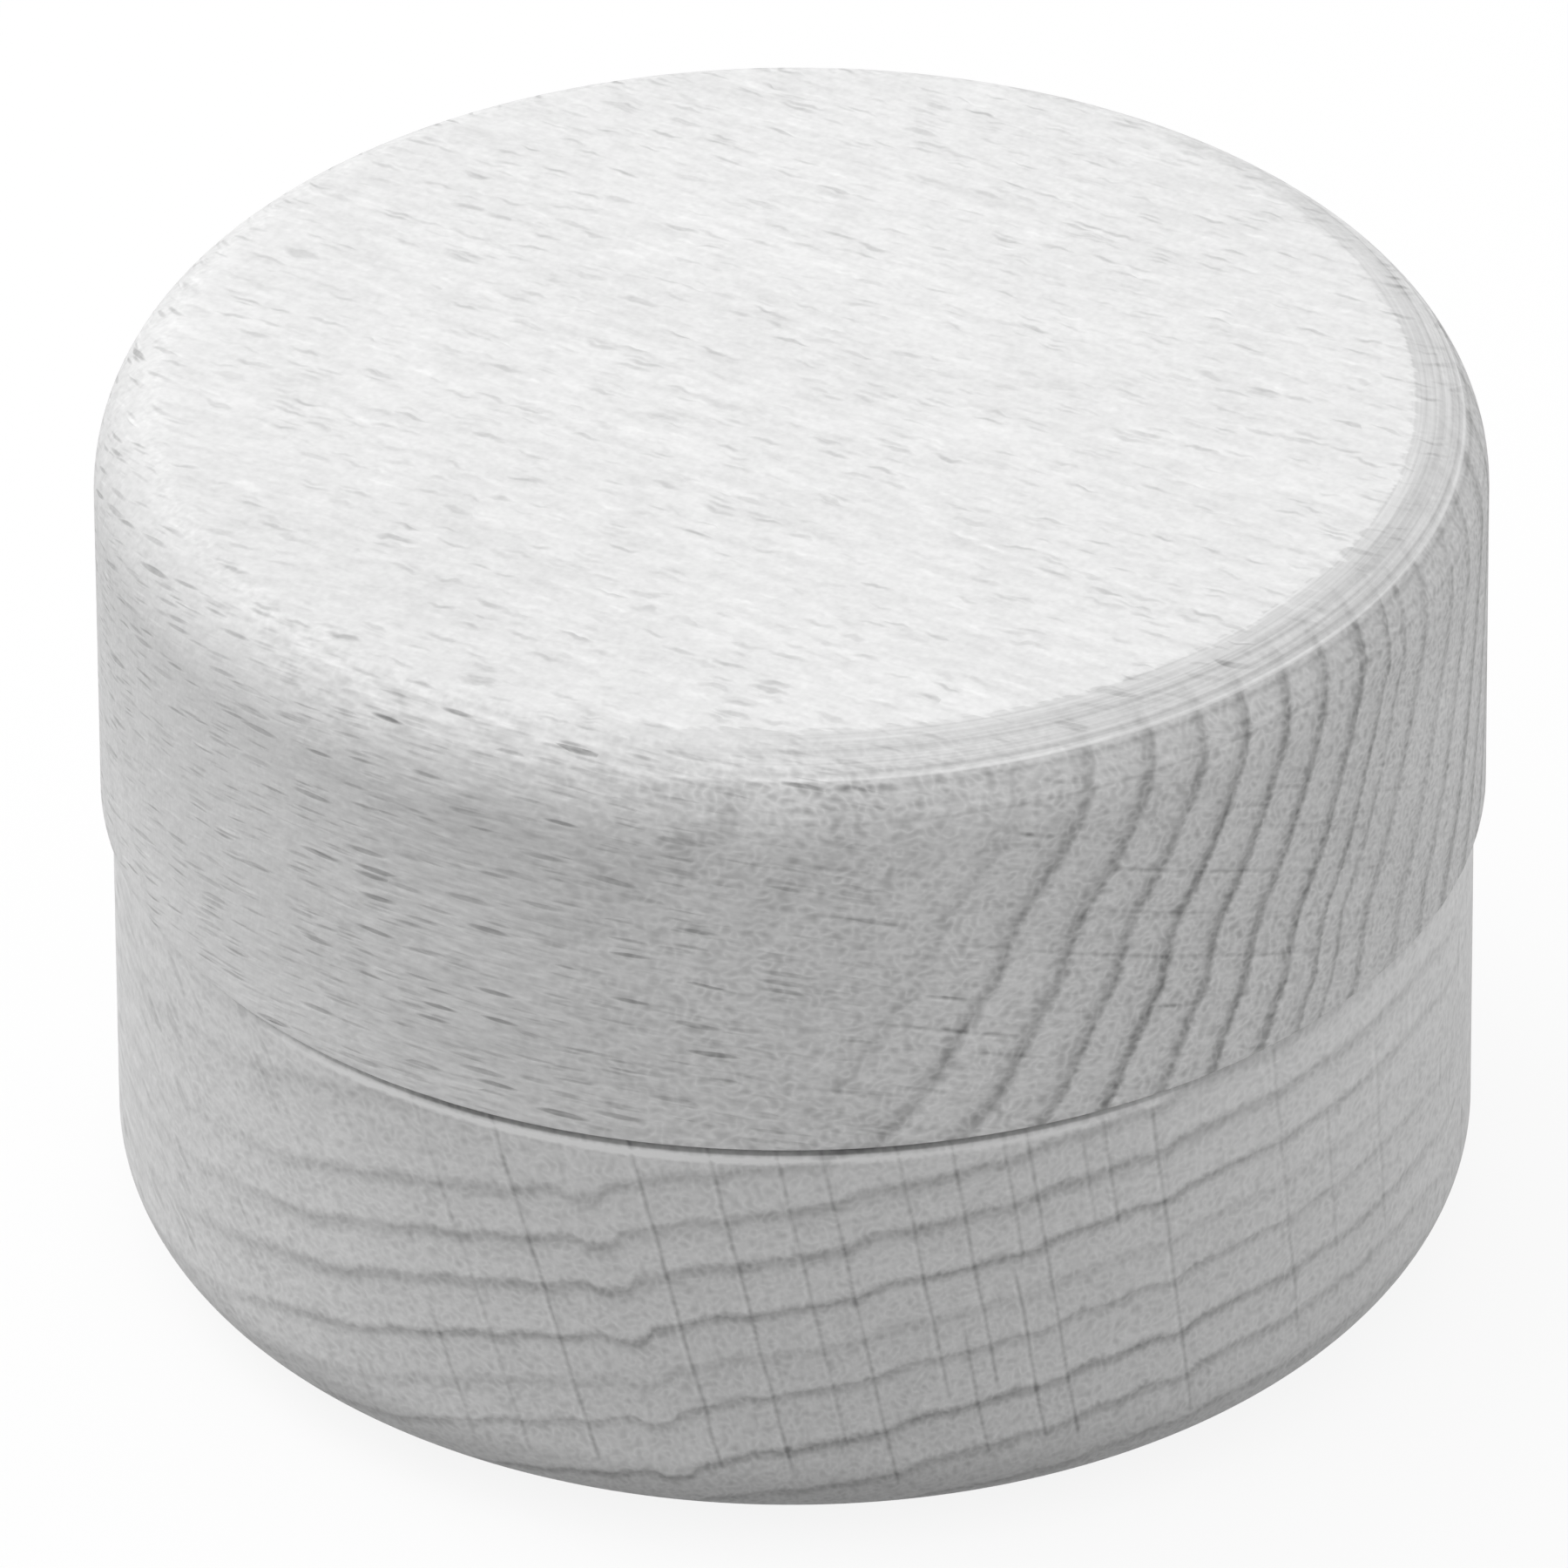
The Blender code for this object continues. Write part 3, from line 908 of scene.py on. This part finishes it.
def felt_outline(sizes):
    """A disc whose lower edge follows the fillet round the floor of the well."""
    lower = sizes.well_fillet - (sizes.felt_bottom - sizes.floor_thickness)
    under = (sizes.felt_radius - lower, sizes.felt_bottom + lower)
    over = (sizes.felt_radius - sizes.felt_arris, sizes.felt_top - sizes.felt_arris)
    return [
        (0.0, sizes.felt_bottom),
        *arc_points(under, lower, lower, -90, 0, SMALL_ROUND_STEPS),
        *arc_points(over, sizes.felt_arris, sizes.felt_arris, 0, 90, SMALL_ROUND_STEPS),
        (0.0, sizes.felt_top),
    ]


def deselect():
    if bpy.context.object is not None and bpy.context.object.mode != "OBJECT":
        bpy.ops.object.mode_set(mode="OBJECT")
    bpy.ops.object.select_all(action="DESELECT")


def turn(name, outline, steps=TURN_STEPS):
    """Draws an outline of (radius, height) points by extruding a vertex, and spins it into a closed solid."""
    deselect()
    bpy.ops.mesh.primitive_plane_add(size=0.001, location=(outline[0][0], 0.0, outline[0][1]))
    piece = bpy.context.object
    piece.name = piece.data.name = name
    bpy.ops.object.mode_set(mode="EDIT")
    bpy.ops.mesh.merge(type="CENTER")
    for start, end in zip(outline, outline[1:]):
        step = (end[0] - start[0], 0.0, end[1] - start[1])
        bpy.ops.mesh.extrude_vertices_move(TRANSFORM_OT_translate={"value": step})
    bpy.ops.mesh.select_all(action="SELECT")
    bpy.ops.mesh.spin(steps=steps, angle=2.0 * math.pi, center=(0.0, 0.0, 0.0), axis=(0.0, 0.0, 1.0))
    bpy.ops.mesh.select_all(action="SELECT")
    bpy.ops.mesh.remove_doubles(threshold=MERGE_DISTANCE)
    bpy.ops.mesh.normals_make_consistent(inside=False)
    bpy.ops.object.mode_set(mode="OBJECT")
    bpy.ops.object.transform_apply(location=True, rotation=True, scale=True)
    bpy.ops.object.shade_smooth_by_angle(angle=SHARP_ANGLE)
    return piece


class JAR_OT_turn_base(bpy.types.Operator):
    """Turn the base: its rounded foot, wall, shoulder, spigot and well"""

    bl_idname = "jar.turn_base"
    bl_label = "Turn Base"

    def execute(self, context):
        piece = turn("turned_base", with_holds(base_outline(context.scene.jar_sizes)))
        piece.data.materials.append(Beech("base_beech", BASE_BLOCK, context.scene.jar_colours).made())
        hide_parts("jar_base")
        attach(piece, "base")
        return {"FINISHED"}


class JAR_OT_turn_lid(bpy.types.Operator):
    """Turn the lid: its hollow, rebate, rim, wall and rounded top edge"""

    bl_idname = "jar.turn_lid"
    bl_label = "Turn Lid"

    def execute(self, context):
        piece = turn("turned_lid", with_holds(lid_outline(context.scene.jar_sizes)))
        piece.data.materials.append(Beech("lid_beech", LID_BLOCK, context.scene.jar_colours).made())
        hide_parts("jar_lid")
        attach(piece, "lid")
        return {"FINISHED"}


class JAR_OT_lay_felt(bpy.types.Operator):
    """Cut the felt disc and lay it on the floor of the well"""

    bl_idname = "jar.lay_felt"
    bl_label = "Lay Felt"

    def execute(self, context):
        sizes = context.scene.jar_sizes
        piece = turn("felt_disc", with_holds(felt_outline(sizes)), steps=FELT_TURN_STEPS)
        piece.data.materials.append(felt("wool_felt", context.scene.jar_colours))
        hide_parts("felt_pad")
        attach(piece, "base")
        return {"FINISHED"}


class JAR_OT_set_stage(bpy.types.Operator):
    """Lay the floor, hang the lamps and stand the camera"""

    bl_idname = "jar.set_stage"
    bl_label = "Set Stage"

    def execute(self, context):
        studio = context.scene.jar_studio
        self.lay_floor(studio)
        self.light_sky(context, studio)
        for lamp in LAMPS:
            self.hang_lamp(*lamp)
        self.stand_camera(context, studio)
        context.scene.view_settings.view_transform = "Standard"
        return {"FINISHED"}

    @staticmethod
    def seen(finish):
        """1 for a ray that shows the surface to the camera, straight or by a reflection or through glass."""
        camera = finish.node("ShaderNodeLightPath", output="Is Camera Ray")
        glossy = camera.other("Is Glossy Ray")
        return camera.worked("MAXIMUM", glossy).worked("MAXIMUM", camera.other("Is Transmission Ray"))

    def lay_floor(self, studio):
        deselect()
        bpy.ops.mesh.primitive_plane_add(size=studio.floor_size, location=(0.0, 0.0, -FLOOR_GAP))
        floor = bpy.context.object
        floor.name = floor.data.name = "floor"
        bpy.ops.object.transform_apply(location=True, rotation=True, scale=True)
        paper = new_finish("white_paper")
        dull = paper.node("ShaderNodeBsdfDiffuse", {}, {"Color": (*studio.floor_colour, 1.0)})
        under_glow = studio.floor_colour * FLOOR_SEEN_SHARE
        pale = paper.node("ShaderNodeBsdfDiffuse", {}, {"Color": (*under_glow, 1.0)})
        glow = paper.node(
            "ShaderNodeEmission", {}, {"Color": (1.0, 1.0, 1.0, 1.0), "Strength": studio.floor_glow}
        )
        shown = paper.node("ShaderNodeAddShader", {}, {0: pale, 1: glow})
        mixed = paper.node("ShaderNodeMixShader", {}, {0: self.seen(paper), 1: dull, 2: shown})
        paper.node("ShaderNodeOutputMaterial", {}, {"Surface": mixed})
        floor.data.materials.append(paper.owner)

    def light_sky(self, context, studio):
        if context.scene.world is None:
            context.scene.world = bpy.data.worlds.new("studio_sky")
        sky = Finish(context.scene.world)
        strength = sky.ease(self.seen(sky), 0.0, 1.0, studio.sky, 1.0)
        light = sky.node("ShaderNodeBackground", {}, {"Color": (1.0, 1.0, 1.0, 1.0), "Strength": strength})
        sky.node("ShaderNodeOutputWorld", {}, {"Surface": light})

    @staticmethod
    def hang_lamp(name, azimuth, elevation, distance, side, level):
        """Hangs a square lamp that faces the jar, and lights a white card facing it to the given level."""
        turned, raised = math.radians(azimuth), math.radians(elevation)
        outwards = Vector(
            (math.sin(turned) * math.cos(raised), -math.cos(turned) * math.cos(raised), math.sin(raised))
        )
        deselect()
        bpy.ops.object.light_add(type="AREA", location=outwards * distance + Vector((0.0, 0.0, LAMP_AIM)))
        lamp = bpy.context.object
        lamp.name = lamp.data.name = name
        lamp.rotation_euler = outwards.to_track_quat("Z", "Y").to_euler()
        lamp.data.shape = "SQUARE"
        lamp.data.size = side
        lamp.data.energy = level * (math.pi * distance) ** 2

    @staticmethod
    def stand_camera(context, studio):
        tilt = Euler((math.pi / 2.0 - studio.camera_elevation, 0.0, 0.0)).to_matrix()
        turned = tilt @ Matrix.Rotation(studio.camera_roll, 3, "Z")
        right, up, back = turned.col
        middle = Vector((0.0, 0.0, LID_BOX[1].z / 2.0))
        place = middle + back * studio.camera_distance - right * studio.camera_left + up * studio.camera_up
        deselect()
        bpy.ops.object.camera_add(location=place, rotation=turned.to_euler())
        camera = bpy.context.object
        camera.name = camera.data.name = "jar_camera"
        camera.data.lens = studio.lens
        camera.data.sensor_width = 36.0
        camera.data.clip_start = 0.05
        camera.data.clip_end = 50.0
        context.scene.camera = camera


class JAR_PT_panel(bpy.types.Panel):
    """Lists the jar's pieces, sizes, colours and studio"""

    bl_idname = "JAR_PT_panel"
    bl_label = "Jewelry Jar"
    bl_space_type = "VIEW_3D"
    bl_region_type = "UI"
    bl_category = "Jar"

    def draw(self, context):
        layout = self.layout
        for operator in OPERATORS:
            layout.operator(operator.bl_idname)
        for label, group in (
            ("Sizes", context.scene.jar_sizes),
            ("Colours", context.scene.jar_colours),
            ("Studio", context.scene.jar_studio),
        ):
            layout.label(text=label)
            for name in group.__annotations__:
                layout.prop(group, name)


GROUPS = {"jar_sizes": JarSizes, "jar_colours": JarColours, "jar_studio": JarStudio}
OPERATORS = (JAR_OT_turn_base, JAR_OT_turn_lid, JAR_OT_lay_felt, JAR_OT_set_stage)


def register():
    for name, group in GROUPS.items():
        bpy.utils.register_class(group)
        setattr(bpy.types.Scene, name, bpy.props.PointerProperty(type=group))
    for operator in OPERATORS:
        bpy.utils.register_class(operator)
    bpy.utils.register_class(JAR_PT_panel)


def unregister():
    bpy.utils.unregister_class(JAR_PT_panel)
    for operator in reversed(OPERATORS):
        bpy.utils.unregister_class(operator)
    for name, group in reversed(GROUPS.items()):
        delattr(bpy.types.Scene, name)
        bpy.utils.unregister_class(group)


def main():
    register()
    bpy.ops.jar.turn_base()
    bpy.ops.jar.turn_lid()
    bpy.ops.jar.lay_felt()
    bpy.ops.jar.set_stage()


if __name__ == "__main__":
    main()
